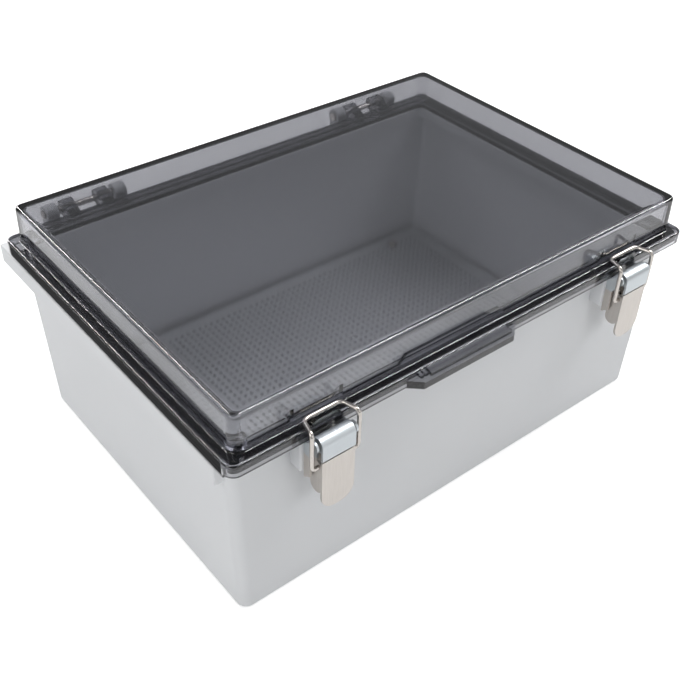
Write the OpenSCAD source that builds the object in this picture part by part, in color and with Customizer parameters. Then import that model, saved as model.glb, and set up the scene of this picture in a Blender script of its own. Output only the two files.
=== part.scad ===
// Hinged enclosure: a tapered base, a clear smoked cover on two rear hinges,
// two draw latches at the front and a perforated mounting panel inside.
// X runs along the long side, -Y is the latch side, +Z is up, and the origin
// is at the middle of the flat underside.

/* [Overall] */
// Length over the cover flange
cover_l = 350; // [300:5:420]
// Width over the cover flange
cover_w = 250; // [220:5:300]
// Height from the underside to the top of the cover
total_h = 151.5; // [130:0.5:200]

/* [Cover] */
// Height of the cover from the underside of its flange to its top
cover_h = 27.5; // [22:0.5:32]
// Width of the flange outside the cover wall
flange_w = 6.6; // [6.3:0.1:7]
// Thickness of the flange
flange_t = 3.5; // [3:0.1:4.5]
// Plan radius of the flange corners
flange_r = 6.5; // [5:0.5:10]
// Thickness of the cover walls and top
cover_wall = 3.5; // [2.8:0.1:4.2]
// Radius of the long edges of the cover
cover_edge_r = 2; // [1.5:0.5:3]
// Draft of the cover walls, over their height
cover_draft = 0.4; // [0.2:0.1:1]
// Plan radius of the cover corners
cover_r = 5; // [3.5:0.5:9]
// Plan radius of the corners inside the cover
cavity_r = 5.5; // [5:0.5:8]
// Radius of the long edges inside the cover
cavity_edge_r = 2; // [1:0.5:3]
// Thickness of the skirt under the flange
skirt_t = 3; // [2:0.1:3.5]
// Height of the skirt under the flange
skirt_h = 4.7; // [3.5:0.1:4.8]
// Extra height of the skirt along the short sides
side_skirt_h = 2; // [1:0.1:2.5]

/* [Pull tab] */
// Distance of the tab's middle from the middle of the cover
tab_x = -22.5; // [-30:0.5:30]
// Length of the tab at its outer edge
tab_l = 70; // [50:1:90]
// How far the tab stands out of the flange
tab_reach = 6.4; // [4:0.1:9]
// Length of each sloping end of the tab
tab_slope = 6; // [3:0.5:10]
// Thickness of the tab
tab_t = 5; // [3.5:0.1:6]
// Height of the grip bar on the tab
grip_h = 2.6; // [1.5:0.1:3.5]

/* [Base] */
// How far the flange stands over the base at the short sides
side_overhang = 5; // [4:0.5:6]
// How far the flange stands over the base at the long sides
front_overhang = 10.5; // [9.5:0.5:11]
// Taper of each short side of the base, from rim to floor
side_taper = 4.5; // [2:0.5:8]
// Taper of each long side of the base, from rim to floor
front_taper = 0.5; // [0.5:0.5:3]
// Thickness of the base walls
base_wall = 3.2; // [2.5:0.1:4]
// Thickness of the floor
floor_t = 3.5; // [3:0.1:5]
// Plan radius of the base corners
base_r = 6.5; // [6:0.5:10]
// Radius of the outer edge around the floor
floor_edge_r = 1.5; // [1:0.5:3]
// Radius of the inner edge around the floor
floor_inner_r = 2; // [1:0.5:2.5]
// Thickness of the rim plate that carries the gasket
rim_t = 5; // [4:0.5:7]
// Gap between the rim plate and the underside of the flange
rim_gap = 3; // [2.8:0.1:3.4]
// Height of the rails along the short sides and the rear
rail_h = 13; // [8:0.5:20]
// Distance of the rail's front end from the front of the flange
rail_setback = 15; // [14:1:40]
// How far the rear shelf stands behind the cover flange
shelf_reach = 11; // [10:0.5:14]
// Thickness of the rear shelf and of its lip
shelf_t = 3; // [2:0.5:4]

/* [Gasket] */
// Width of the gasket
gasket_w = 4.3; // [3:0.1:4.5]
// Height of the gasket
gasket_h = 5.4; // [4.5:0.1:5.5]
// Plan radius of the gasket's centre line at the corners
seal_r = 7; // [6:0.5:8]
// Inset of the gasket's centre line from the cover wall
gasket_inset = 4.9; // [4.4:0.1:5.2]
// Thickness of the lips beside the gasket
lip_t = 1; // [0.8:0.1:1.2]
// Height of the lips beside the gasket
lip_h = 2.4; // [1.5:0.1:2.5]

/* [Hinges] */
// Distance of each hinge from the end of the cover
hinge_end = 58; // [45:0.5:70]
// Distance of the hinge axis behind the rear edge of the flange
hinge_out = 6.5; // [6.3:0.1:7]
// Height of the hinge axis over the top of the flange
hinge_rise = 0.9; // [0.5:0.1:1.5]
// Radius of the knuckles
knuckle_r = 5.6; // [5:0.1:5.8]
// Length of each knuckle
knuckle_l = 8; // [6:0.5:9]
// Distance of the cover knuckles from the middle of the hinge
inner_knuckle = 12; // [10:0.5:13]
// Distance of the base knuckles from the middle of the hinge
outer_knuckle = 24; // [23:0.5:27]
// Radius of the hinge pin
pin_r = 2; // [1.5:0.1:2.5]

/* [Latches] */
// Distance of each latch from the end of the cover
latch_end = 58; // [50:0.5:70]
// Thickness of the latch's sheet metal
sheet_t = 1.3; // [1:0.1:1.5]
// Radius of the bail's wire
wire_r = 1.25; // [1:0.05:1.35]
// Distance of the bail's legs from the middle of the latch
leg_x = 15; // [14.8:0.1:17]
// Slant of the bail's sides towards its top bar, in degrees
bail_slant = 16; // [8:1:20]
// Radius of the lever's rolled top
roll_r = 4.6; // [4.2:0.1:5]
// Distance of the lever's axis in front of the flange
lever_out = 6; // [5.5:0.1:7]
// Distance of the lever's axis under the top of the flange
lever_drop = 7; // [6:0.1:8]
// Distance of the bail's pivot under the lever's axis
pivot_drop = 14; // [12:0.5:16]
// Distance of the bail's pivot in front of the lever's axis
pivot_out = 1.3; // [0.8:0.1:1.6]
// Width of the lever
lever_w = 21.2; // [18:0.2:21.4]
// Length of the lever under its axis
lever_l = 44.5; // [38:0.5:50]
// Radius of the corners at the lever's free end
lever_r = 9; // [5:0.5:10]
// Radius of the lever's pin
lever_pin_r = 1.5; // [1.2:0.1:1.7]
// Height of the catch's seat over the flange
seat_h = 1.85; // [1.5:0.05:2.2]
// Height of the catch's lip over its seat
catch_lip_h = 1.5; // [1:0.1:1.6]

/* [Mounting panel] */
// Gap between each end of the panel and the mouth of the base
panel_end_gap = 0.75; // [0.5:0.25:10]
// Gap between each long side of the panel and the mouth of the base
panel_side_gap = 4.25; // [3:0.25:10]
// Thickness of the panel
panel_t = 2; // [1.5:0.1:3]
// Plan radius of the panel's corners
panel_r = 10; // [8:1:20]
// Height of the posts under the panel, over the floor
post_h = 12.7; // [12:0.1:20]
// Radius of those posts
post_r = 6; // [5:0.5:7]
// Distance of the panel screws from the ends of the panel
panel_hole_end = 34.5; // [20:0.5:50]
// Distance of the panel screws from the long sides of the panel
panel_hole_side = 11; // [8:0.5:30]
// Radius of the panel screws
panel_screw_r = 2; // [1.5:0.25:2.5]
// Radius of one hole of the panel's perforation
grid_hole_r = 1.25; // [1:0.05:1.5]
// Half distance between the bored grid holes along the length
grid_hole_x = 100; // [60:5:110]
// Half distance between the bored grid holes along the width
grid_hole_y = 50; // [30:5:60]

/* [Wall fixing] */
// Distance of the wall inserts from the ends of the rim
wall_hole_end = 30; // [28:0.5:50]
// Distance of the wall inserts from the long sides of the rim
wall_hole_side = 39.5; // [35:0.5:50]
// Thread radius of the wall inserts
wall_bore_r = 2.5; // [2:0.25:3]
// Length of the wall inserts
wall_insert_l = 10; // [8:0.5:10]

/* [Hidden] */

$fn = 48;
gap = 0.3;            // between pieces that only lie close together
run_gap = 0.06;       // radial clearance of a turning fit
hull_fn = 32;
slab = 0.02;

flange_z = total_h - cover_h;
flange_top = flange_z + flange_t;
skirt_z = flange_z - skirt_h;
side_skirt_z = skirt_z - side_skirt_h;
dome_l = cover_l - 2 * flange_w;
dome_w = cover_w - 2 * flange_w;
front_y = -cover_w / 2;
wall_y = -dome_w / 2;

base_h = flange_z - rim_gap;
rim_l = cover_l - 2 * side_overhang;
rim_w = cover_w - 2 * front_overhang;
rail_top = side_skirt_z - gap;
rail_z = rail_top - rail_h;
shelf_y = cover_w / 2 + shelf_reach;
rail_front = front_y + rail_setback;

seal_l = dome_l - 2 * gasket_inset;
seal_w = dome_w - 2 * gasket_inset;
seal_gap = 0.1;
seal_out = gasket_w / 2 + seal_gap + lip_t;
mouth_l = seal_l - 2 * seal_out;
mouth_w = seal_w - 2 * seal_out;
rebate_w = gasket_w / 2 + 0.7;
rebate_z = base_h + gasket_h + gap;
seal_ledge = 2.4;

hinge_x = cover_l / 2 - hinge_end;
hinge_y = cover_w / 2 + hinge_out;
hinge_z = flange_top + hinge_rise;
pin_l = 2 * outer_knuckle + knuckle_l + 1;

latch_x = cover_l / 2 - latch_end;
lever_y = front_y - lever_out;
lever_z = flange_top - lever_drop;
pivot_y = lever_y - pivot_out;
pivot_z = lever_z - pivot_drop;
bar_y = wall_y - wire_r - 1.3;
bar_z = flange_top + seat_h + gap + wire_r;
pad_w = 2 * (leg_x + 0.3);
pad_y = front_y + 1.8;
pad_h = 21;
pad_top = skirt_z - 0.8;
pad_z = pad_top - pad_h;
ear_x = leg_x - wire_r - 2 * gap;
ear_nose_r = lever_pin_r + 1.8;
bracket_z = pad_z - 3;
bracket_top = pad_top - 1;
bracket_y = pad_y - sheet_t;
screw_r = 1.5;
screw_head_r = 2.75;
screw_head_h = 1.6;
screw_l = 6;
insert_r = 2.4;
screw_z = [pad_z + 5, pad_top - 6];

panel_z = floor_t + post_h;
panel_l = mouth_l - 2 * panel_end_gap;
panel_w = mouth_w - 2 * panel_side_gap;
panel_hole_x = panel_l / 2 - panel_hole_end;
panel_hole_y = panel_w / 2 - panel_hole_side;
wall_hole_x = rim_l / 2 - wall_hole_end;
wall_hole_y = rim_w / 2 - wall_hole_side;
insert_wall = 1.2;
insert_l = 8;
wall_post_r = wall_bore_r + insert_wall + 3;
wall_post_h = wall_insert_l + 2;

// ---- shared shapes ----

// Rounded rectangle about the origin
module rounded_rect(l, w, r) {
    square([l - 2 * r, w], center = true);
    square([l, w - 2 * r], center = true);
    for (x = [-1, 1], y = [-1, 1])
        translate([x * (l / 2 - r), y * (w / 2 - r)]) circle(r);
}

module plate(l, w, r, z, t) {
    translate([0, 0, z]) linear_extrude(t) rounded_rect(l, w, r);
}

// Ring of constant width along the gasket's centre line, between two offsets
module seal_ring(inner, outer, z, t) {
    difference() {
        plate(seal_l + 2 * outer, seal_w + 2 * outer, seal_r + outer, z, t);
        plate(seal_l + 2 * inner, seal_w + 2 * inner, seal_r + inner, z - 1, t + 2);
    }
}

// Profile drawn in Y and Z, run along X from x0
module along_x(x0, len) {
    translate([x0, 0, 0]) rotate([90, 0, 90]) linear_extrude(len) children();
}

// Round bar or bore along X
module rod_x(x0, len, y, z, r) {
    translate([x0, y, z]) rotate([0, 90, 0]) cylinder(h = len, r = r);
}

module four_corners(x, y) {
    for (sx = [-1, 1], sy = [-1, 1]) translate([sx * x, sy * y, 0]) children();
}

// ---- base ----

function base_l(z) = rim_l - 2 * side_taper * (1 - z / base_h);
function base_w(z) = rim_w - 2 * front_taper * (1 - z / base_h);

// Tapered body of the base with a rounded edge around the floor
module base_form(inset, z0, edge_r, top) {
    hull() {
        for (a = [0 : 30 : 90])
            base_slab(inset + edge_r * (1 - cos(a)), z0 + edge_r * (1 - sin(a)));
        base_slab(inset, top - slab);
    }
}

module base_slab(inset, z) {
    plate(base_l(z) - 2 * inset, base_w(z) - 2 * inset, base_r - inset, z, slab, $fn = hull_fn);
}

module rim_plate() {
    z = base_h - rim_t;
    difference() {
        union() {
            plate(rim_l, rim_w, base_r, z, rim_t);
            plate(seal_l + 2 * seal_out, seal_w + 2 * seal_out, seal_r + seal_out, z, rim_t);
        }
        plate(mouth_l, mouth_w, seal_r - seal_out, z - 1, rim_t + 2);
    }
    seal_ring(seal_out - lip_t, seal_out, base_h - 0.5, lip_h + 0.5);
    seal_ring(-seal_out, lip_t - seal_out, base_h - 0.5, lip_h + 0.5);
}

// Rails along the short sides and the open shelf behind the base
module rails() {
    root = rim_l / 2 - base_wall + 0.7;
    for (s = [-1, 1])
        translate([s > 0 ? root : -cover_l / 2, rail_front, rail_z])
            cube([cover_l / 2 - root, shelf_y - rail_front, rail_h]);
    translate([-cover_l / 2, rim_w / 2 - base_wall + 0.7, rail_top - shelf_t])
        cube([cover_l, shelf_y - rim_w / 2 + base_wall - 0.7, shelf_t]);
    translate([-cover_l / 2, shelf_y - shelf_t, rail_z]) cube([cover_l, shelf_t, rail_h]);
    for (s = [-1, 1], k = [-outer_knuckle, outer_knuckle])
        translate([s * hinge_x + k - shelf_t / 2, rim_w / 2 - base_wall + 0.7, rail_z])
            cube([shelf_t, shelf_y - rim_w / 2, rail_h]);
}

module base_knuckle(x) {
    along_x(x - knuckle_l / 2, knuckle_l)
        polygon([[hinge_y - knuckle_r + 0.4, rail_top - 0.5], [shelf_y, rail_top - 0.5], [shelf_y, hinge_z - 4],
                 [hinge_y + 3, hinge_z], [hinge_y - knuckle_r + 0.4, hinge_z]]);
    rod_x(x - knuckle_l / 2, knuckle_l, hinge_y, hinge_z, knuckle_r);
}

// Moulded pad that carries one latch bracket
module latch_pad(x) {
    translate([x - pad_w / 2, pad_y, pad_z]) cube([pad_w, -rim_w / 2 - pad_y + base_wall - 0.7, pad_h]);
}

module base_shell() {
    color("gainsboro") difference() {
        union() {
            difference() {
                base_form(0, 0, floor_edge_r, base_h - rim_t + 1);
                base_form(base_wall, floor_t, floor_inner_r, base_h);
            }
            rim_plate();
            rails();
            for (s = [-1, 1]) {
                latch_pad(s * latch_x);
                for (k = [-outer_knuckle, outer_knuckle]) base_knuckle(s * hinge_x + k);
            }
            four_corners(panel_hole_x, panel_hole_y)
                translate([0, 0, floor_t - 0.5]) cylinder(h = post_h + 0.5, r = post_r);
            four_corners(wall_hole_x, wall_hole_y)
                translate([0, 0, floor_t - 0.5]) cylinder(h = wall_post_h - floor_t + 0.5, r = wall_post_r);
        }
        for (s = [-1, 1]) {
            rod_x(s * hinge_x - pin_l / 2 - 1, pin_l + 2, hinge_y, hinge_z, pin_r);
            for (z = screw_z)
                translate([s * latch_x, pad_y - 1, z]) rotate([-90, 0, 0]) cylinder(h = screw_l + 1.2, r = insert_r);
        }
        four_corners(panel_hole_x, panel_hole_y)
            translate([0, 0, panel_z - insert_l]) cylinder(h = insert_l + 1, r = panel_screw_r + insert_wall);
        four_corners(wall_hole_x, wall_hole_y)
            translate([0, 0, -1]) cylinder(h = wall_insert_l + 1, r = wall_bore_r + insert_wall);
    }
}

module rim_gasket() {
    color("dimgray") seal_ring(-gasket_w / 2, gasket_w / 2, base_h, gasket_h);
}

// ---- cover ----

// Outer or inner form of the cover's raised part
module dome_form(inset, corner_r, z0, top, edge_r) {
    hull() {
        dome_slab(inset, corner_r, z0);
        for (a = [0 : 30 : 90]) {
            cut = edge_r * (1 - cos(a));
            dome_slab(inset + cut, corner_r - cut, top - slab - edge_r * (1 - sin(a)));
        }
    }
}

module dome_slab(inset, corner_r, z) {
    in = inset + cover_draft * (z - flange_z) / cover_h;
    plate(dome_l - 2 * in, dome_w - 2 * in, corner_r, z, slab, $fn = hull_fn);
}

module pull_tab() {
    z = flange_z - tab_t + 0.5;
    half = tab_l / 2;
    translate([tab_x, front_y, z]) linear_extrude(tab_t)
        polygon([[-half - tab_slope, skirt_t], [-half - tab_slope, 0], [-half, -tab_reach],
                 [half, -tab_reach], [half + tab_slope, 0], [half + tab_slope, skirt_t]]);
    translate([tab_x, front_y, z + tab_t - 0.5]) linear_extrude(grip_h + 0.5)
        polygon([[-half + 8, 0.5], [-half + 6, 1.2 - tab_reach], [half - 2, 1.2 - tab_reach], [half - 2, 0.5]]);
}

// Seat and lip that the bail's top bar hooks over
module catch_block(x) {
    lip_y = bar_y - wire_r - gap;
    translate([x - 9, front_y, flange_top - 0.5]) cube([18, wall_y - front_y + 0.5, seat_h + 0.5]);
    translate([x - 8, front_y, flange_top]) cube([16, lip_y - front_y, seat_h + catch_lip_h]);
}

// Stiffeners inside the front wall, behind each latch and behind the tab
module front_ribs() {
    wall_in = wall_y + cover_wall - 0.5;
    for (s = [-1, 1]) {
        for (k = [-15.5, 15.5])
            along_x(s * latch_x + k - 1.2, 2.4)
                polygon([[wall_in, rebate_z + 0.4], [wall_in + 4.5, rebate_z + 0.4],
                         [wall_in + 4.5, rebate_z + 4.5], [wall_in, rebate_z + 11]]);
        translate([s * latch_x - 15.5, wall_in, rebate_z + 0.4]) cube([31, 2.4, 4]);
    }
    half = tab_l / 2;
    translate([tab_x, wall_in, 0]) rotate([90, 0, 0]) translate([0, 0, -2.6]) linear_extrude(2.6)
        polygon([[-half - tab_slope, rebate_z + 0.4], [half + tab_slope, rebate_z + 0.4],
                 [half, rebate_z + 7], [-half, rebate_z + 7]]);
}

module cover_knuckle(x, side) {
    along_x(x - knuckle_l / 2, knuckle_l)
        polygon([[-front_y - 1, flange_z], [hinge_y - 2, flange_z], [hinge_y, hinge_z + knuckle_r - 1],
                 [hinge_y - 2, hinge_z + knuckle_r - 1], [-wall_y, flange_top + 1], [-front_y - 1, flange_top - 0.5]]);
    rod_x(x - knuckle_l / 2, knuckle_l, hinge_y, hinge_z, knuckle_r);
    collar = outer_knuckle - inner_knuckle - knuckle_l - gap;
    rod_x(side > 0 ? x + knuckle_l / 2 - 0.5 : x - knuckle_l / 2 - collar, collar + 0.5,
          hinge_y, hinge_z, pin_r + 1.2);
}

module cover_shell() {
    color([0.42, 0.43, 0.47, 0.5]) difference() {
        union() {
            dome_form(0, cover_r, flange_z + 0.5, total_h, cover_edge_r);
            plate(cover_l, cover_w, flange_r, flange_z, flange_t);
            difference() {
                plate(cover_l, cover_w, flange_r, skirt_z, skirt_h + 0.5);
                plate(cover_l - 2 * skirt_t, cover_w - 2 * skirt_t, flange_r - skirt_t, skirt_z - 1, skirt_h + 1);
            }
            for (s = [-1, 1])
                translate([s > 0 ? cover_l / 2 - skirt_t : -cover_l / 2, front_y + flange_r, side_skirt_z])
                    cube([skirt_t, cover_w - 2 * flange_r, side_skirt_h + 0.5]);
            pull_tab();
            for (s = [-1, 1]) {
                catch_block(s * latch_x);
                for (k = [-1, 1]) cover_knuckle(s * hinge_x + k * inner_knuckle, k);
            }
        }
        dome_form(cover_wall, cavity_r, flange_z - 1, total_h - cover_wall, cavity_edge_r);
        seal_ring(-rebate_w, rebate_w, flange_z - 1, rebate_z - flange_z + 1);
        for (s = [-1, 1]) rod_x(s * hinge_x - pin_l / 2, pin_l, hinge_y, hinge_z, pin_r + run_gap);
    }
    color([0.42, 0.43, 0.47, 0.5]) seal_ring(-rebate_w, rebate_w - 1, rebate_z, seal_ledge);
    color([0.42, 0.43, 0.47, 0.5]) front_ribs();
    color([0.42, 0.43, 0.47, 0.5]) four_corners(dome_l / 2 - cover_wall - 3, dome_w / 2 - cover_wall - 3)
        translate([0, 0, rebate_z + 0.4]) cylinder(h = 6, r = 4);
}

// ---- hinges ----

module hinge_pin(x) {
    color("silver") {
        rod_x(x - pin_l / 2, pin_l, hinge_y, hinge_z, pin_r);
        for (s = [-1, 1])
            rod_x(s > 0 ? x + outer_knuckle + knuckle_l / 2 : x - outer_knuckle - knuckle_l / 2 - 1.2, 1.2,
                  hinge_y, hinge_z, pin_r + 0.9);
    }
}

module hinge_pin_left() { hinge_pin(-hinge_x); }
module hinge_pin_right() { hinge_pin(hinge_x); }

// ---- latches ----

module latch_bracket(x) {
    color("silver") difference() {
        union() {
            translate([x - ear_x, bracket_y, bracket_z]) cube([2 * ear_x, sheet_t, bracket_top - bracket_z]);
            for (x0 = [x - ear_x, x + ear_x - sheet_t]) {
                along_x(x0, sheet_t)
                    polygon([[pad_y, bracket_z], [pad_y - 4.8, bracket_z + 2.5], [pad_y - 4.8, lever_z - 9],
                             [lever_y - ear_nose_r + 0.1, lever_z - 1], [lever_y + 3, lever_z + 1],
                             [pad_y, bracket_top]]);
                rod_x(x0, sheet_t, lever_y, lever_z, ear_nose_r);
            }
        }
        rod_x(x - ear_x - 1, 2 * ear_x + 2, lever_y, lever_z, lever_pin_r);
        for (z = screw_z)
            translate([x, bracket_y - 1, z]) rotate([-90, 0, 0]) cylinder(h = sheet_t + 2, r = screw_r + 0.1);
    }
}

module bracket_screws(x) {
    color("silver") for (z = screw_z) translate([x, bracket_y, z]) rotate([90, 0, 0]) {
        translate([0, 0, -screw_l]) cylinder(h = screw_l + 0.5, r = screw_r);
        cylinder(h = screw_head_h, r = screw_head_r);
    }
}

module bracket_inserts(x) {
    color("goldenrod") for (z = screw_z) translate([x, pad_y, z]) rotate([-90, 0, 0]) difference() {
        cylinder(h = screw_l, r = insert_r);
        translate([0, 0, -1]) cylinder(h = screw_l + 2, r = screw_r + 0.02);
    }
}

module lever_pin(x) {
    color("silver") rod_x(x - ear_x, 2 * ear_x, lever_y, lever_z, lever_pin_r);
}

// Outline of the lever's side cheeks, around both pivots
module cheek_outline() {
    back = lever_y + roll_r + 0.9;
    front = lever_y - roll_r + sheet_t;
    difference() {
        union() {
            translate([lever_y, lever_z]) circle(roll_r);
            translate([front - 0.3, lever_z - 28.8]) square([back - front + 0.3, 28.8]);
            translate([(back + front) / 2 - 0.2, lever_z - 28.8]) circle((back - front) / 2 + 0.2);
        }
        translate([lever_y, lever_z]) circle(lever_pin_r + run_gap);
        translate([pivot_y, pivot_z]) circle(wire_r + run_gap);
        translate([front - 2, pivot_z + wire_r + 1.6]) square([back - front - 2, pivot_drop - wire_r - lever_pin_r - 3.2]);
    }
}

module latch_lever(x) {
    front = lever_y - roll_r;
    slit_z = lever_z - 9.6;
    color("lightgray") {
        for (x0 = [x - lever_w / 2, x + lever_w / 2 - sheet_t]) along_x(x0, sheet_t) cheek_outline();
        // rolled hood above the slit
        along_x(x - lever_w / 2, lever_w) {
            intersection() {
                difference() {
                    translate([lever_y, lever_z]) circle(roll_r);
                    translate([lever_y, lever_z]) circle(roll_r - sheet_t);
                }
                translate([front - 1, lever_z]) square([2 * roll_r + 0.2, roll_r + 1]);
            }
            translate([front, slit_z + 1.2]) square([sheet_t, lever_z - slit_z - 1.2]);
        }
        // lower plate with rounded corners
        translate([x, front + 0.4 + sheet_t, lever_z - lever_l]) rotate([90, 0, 0]) linear_extrude(sheet_t) {
            translate([-lever_w / 2, lever_r]) square([lever_w, lever_l - lever_z + slit_z - lever_r]);
            translate([lever_r - lever_w / 2, 0]) square([lever_w - 2 * lever_r, lever_r + 1]);
            for (s = [-1, 1]) translate([s * (lever_w / 2 - lever_r), lever_r]) circle(lever_r);
        }
    }
}

// Points along a quarter bend, from p towards q around the corner at c
function bend(p, c, q) = [for (t = [0 : 15 : 90]) c + (p - c) * (1 - sin(t)) + (q - c) * (1 - cos(t))];

// Route of the bail's wire on the side of positive X, from the pivot to the middle of the top bar
function bail_side() =
    let (bar_x = leg_x - (bar_y - pivot_y) * tan(bail_slant),
         side = [-sin(bail_slant), cos(bail_slant), 0],
         foot = [leg_x, pivot_y, pivot_z],
         top = [leg_x, pivot_y, bar_z],
         tip = [bar_x, bar_y, bar_z])
    concat([foot - [4, 0, 0]],
           bend(foot - [2.6, 0, 0], foot, foot + [0, 0, 2.6]),
           bend(top - [0, 0, 3], top, top + 3 * side),
           bend(tip - 3 * side, tip, tip - [3, 0, 0]));

function unit(v) = v / norm(v);
function heading(p, i) = unit(p[min(i + 1, len(p) - 1)] - p[max(i - 1, 0)]);
// Sideways direction carried along the wire without twist
function sideways(p, i) = i == 0 ? [0, 1, 0]
    : let (h = heading(p, i), s = sideways(p, i - 1)) unit(s - (s * h) * h);

// Round wire along the points of p
module wire(p, r, sides) {
    rings = [for (i = [0 : len(p) - 1]) let (s = sideways(p, i), t = cross(heading(p, i), s))
             for (k = [0 : sides - 1]) p[i] + r * (cos(k * 360 / sides) * s + sin(k * 360 / sides) * t)];
    walls = [for (i = [0 : len(p) - 2], k = [0 : sides - 1])
             [(i + 1) * sides + k, (i + 1) * sides + (k + 1) % sides, i * sides + (k + 1) % sides, i * sides + k]];
    caps = [[for (k = [0 : sides - 1]) k], [for (k = [sides - 1 : -1 : 0]) (len(p) - 1) * sides + k]];
    polyhedron(rings, concat(walls, caps));
}

module latch_bail(x) {
    half = bail_side();
    other = [for (i = [len(half) - 1 : -1 : 0]) [-half[i].x, half[i].y, half[i].z]];
    pin_in = lever_w / 2 - sheet_t - 0.8;
    pin_out = leg_x - 3;
    color("silver") translate([x, 0, 0]) {
        wire(concat(half, other), wire_r - 0.03, 12);
        for (x0 = [-pin_out, pin_in]) rod_x(x0, pin_out - pin_in, pivot_y, pivot_z, wire_r);
    }
}

module latch_bracket_left() { latch_bracket(-latch_x); }
module latch_bracket_right() { latch_bracket(latch_x); }
module bracket_screws_left() { bracket_screws(-latch_x); }
module bracket_screws_right() { bracket_screws(latch_x); }
module bracket_inserts_left() { bracket_inserts(-latch_x); }
module bracket_inserts_right() { bracket_inserts(latch_x); }
module lever_pin_left() { lever_pin(-latch_x); }
module lever_pin_right() { lever_pin(latch_x); }
module latch_lever_left() { latch_lever(-latch_x); }
module latch_lever_right() { latch_lever(latch_x); }
module latch_bail_left() { latch_bail(-latch_x); }
module latch_bail_right() { latch_bail(latch_x); }

// ---- mounting panel and inserts ----

module mounting_panel() {
    color("darkgray") difference() {
        plate(panel_l, panel_w, panel_r, panel_z, panel_t);
        four_corners(panel_hole_x, panel_hole_y)
            translate([0, 0, panel_z - 1]) cylinder(h = panel_t + 2, r = panel_screw_r + 0.2);
        four_corners(grid_hole_x, grid_hole_y)
            translate([0, 0, panel_z - 1]) cylinder(h = panel_t + 2, r = grid_hole_r);
    }
}

module panel_screws() {
    color("silver") four_corners(panel_hole_x, panel_hole_y) {
        translate([0, 0, panel_z - insert_l + 1]) cylinder(h = insert_l + panel_t - 0.5, r = panel_screw_r);
        translate([0, 0, panel_z + panel_t]) cylinder(h = 2.2, r = panel_screw_r + 1.8);
    }
}

module panel_inserts() {
    color("goldenrod") four_corners(panel_hole_x, panel_hole_y)
        translate([0, 0, panel_z - insert_l]) difference() {
            cylinder(h = insert_l, r = panel_screw_r + insert_wall);
            translate([0, 0, -1]) cylinder(h = insert_l + 2, r = panel_screw_r + 0.02);
        }
}

module wall_inserts() {
    color("goldenrod") four_corners(wall_hole_x, wall_hole_y) difference() {
        cylinder(h = wall_insert_l, r = wall_bore_r + insert_wall);
        translate([0, 0, -1]) cylinder(h = wall_insert_l + 2, r = wall_bore_r);
    }
}

base_shell();
rim_gasket();
cover_shell();
hinge_pin_left();
hinge_pin_right();
latch_bracket_left();
latch_bracket_right();
bracket_screws_left();
bracket_screws_right();
bracket_inserts_left();
bracket_inserts_right();
lever_pin_left();
lever_pin_right();
latch_lever_left();
latch_lever_right();
latch_bail_left();
latch_bail_right();
mounting_panel();
panel_screws();
panel_inserts();
wall_inserts();
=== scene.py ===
import math

import bmesh
import bpy
from mathutils import Matrix, Vector


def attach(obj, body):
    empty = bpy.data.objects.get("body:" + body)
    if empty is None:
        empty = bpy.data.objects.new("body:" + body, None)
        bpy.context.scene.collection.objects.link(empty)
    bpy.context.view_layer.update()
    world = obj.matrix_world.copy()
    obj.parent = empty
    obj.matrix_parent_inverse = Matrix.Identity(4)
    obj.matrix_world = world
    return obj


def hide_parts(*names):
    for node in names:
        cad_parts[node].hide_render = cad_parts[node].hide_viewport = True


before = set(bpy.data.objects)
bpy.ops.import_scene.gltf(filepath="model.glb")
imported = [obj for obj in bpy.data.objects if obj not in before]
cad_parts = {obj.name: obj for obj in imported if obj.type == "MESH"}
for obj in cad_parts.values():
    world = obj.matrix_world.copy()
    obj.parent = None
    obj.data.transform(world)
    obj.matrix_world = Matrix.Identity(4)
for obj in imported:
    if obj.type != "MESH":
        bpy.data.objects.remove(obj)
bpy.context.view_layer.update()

MM = 0.001
SIDES = (-1, 1)
NAMED_SIDES = (("left", -1), ("right", 1))

# ---- sizes of the enclosure, in millimetres ----

FLANGE_Z, FLANGE_TOP, COVER_TOP = 124.0, 127.5, 151.5
SKIRT_Z, SIDE_SKIRT_Z = 119.3, 117.3
FLANGE = (175.0, 125.0, 6.5)
DOME = (168.4, 118.4, 5.0)
CAVITY = (164.9, 114.9, 5.5)
DOME_DRAFT = 0.4
COVER_WALL = 3.5
COVER_EDGE, CAVITY_EDGE = 2.0, 2.0
SEAL = (163.5, 113.5, 7.0)
GASKET_HALF, LIP_OUT, GROOVE_HALF = 2.15, 3.25, 2.85
GROOVE_TOP, LEDGE_TOP = 126.7, 129.1
GASKET_TOP, GASKET_ROUND = 126.4, 1.4
# Sizes of the black lip that paints the shade under the flange.
SHADE_LIP_OUT, SHADE_LIP_ROUND, SHADE_LIP_TOP, SHADE_LIP_REAR = 8.3, 3.3, 123.7, 108.0
RIM_Z, RIM_TOP, LIP_TOP = 116.0, 121.0, 123.4
BASE = (170.0, 114.5, 6.5)
BASE_TAPER = (4.5, 0.5)
BASE_WALL, FLOOR = 3.2, 3.5
BASE_EDGE, FLOOR_EDGE = 1.5, 2.0
RAIL_Z, RAIL_TOP, SHELF_Y = 104.0, 117.0, 136.0
# Sizes of the black side strips, which paint the shadow gap under the flange, and of their seats.
STRIP_HALF, STRIP_DEEP, STRIP_Z, SEAT_GAP = 117.5, 0.5, (118.5, 126.4), 0.05
HINGE_X, HINGE_Y, HINGE_Z, KNUCKLE = 117.0, 131.5, 128.4, 5.6
KNUCKLE_HALF = 4.0
PIN_R, PIN_BORE_R, PIN_HALF = 2.0, 2.06, 31.0
INNER_KNUCKLE, OUTER_KNUCKLE = 12.0, 24.0
LATCH_X, LEVER_Y, LEVER_Z, ROLL = 117.0, -131.0, 120.5, 4.6
PIVOT_Y, PIVOT_Z = -132.3, 106.5
SHEET, WIRE = 1.3, 1.25
PAD_FRONT, PAD_Z, PAD_TOP = -123.2, 97.5, 118.5
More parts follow.
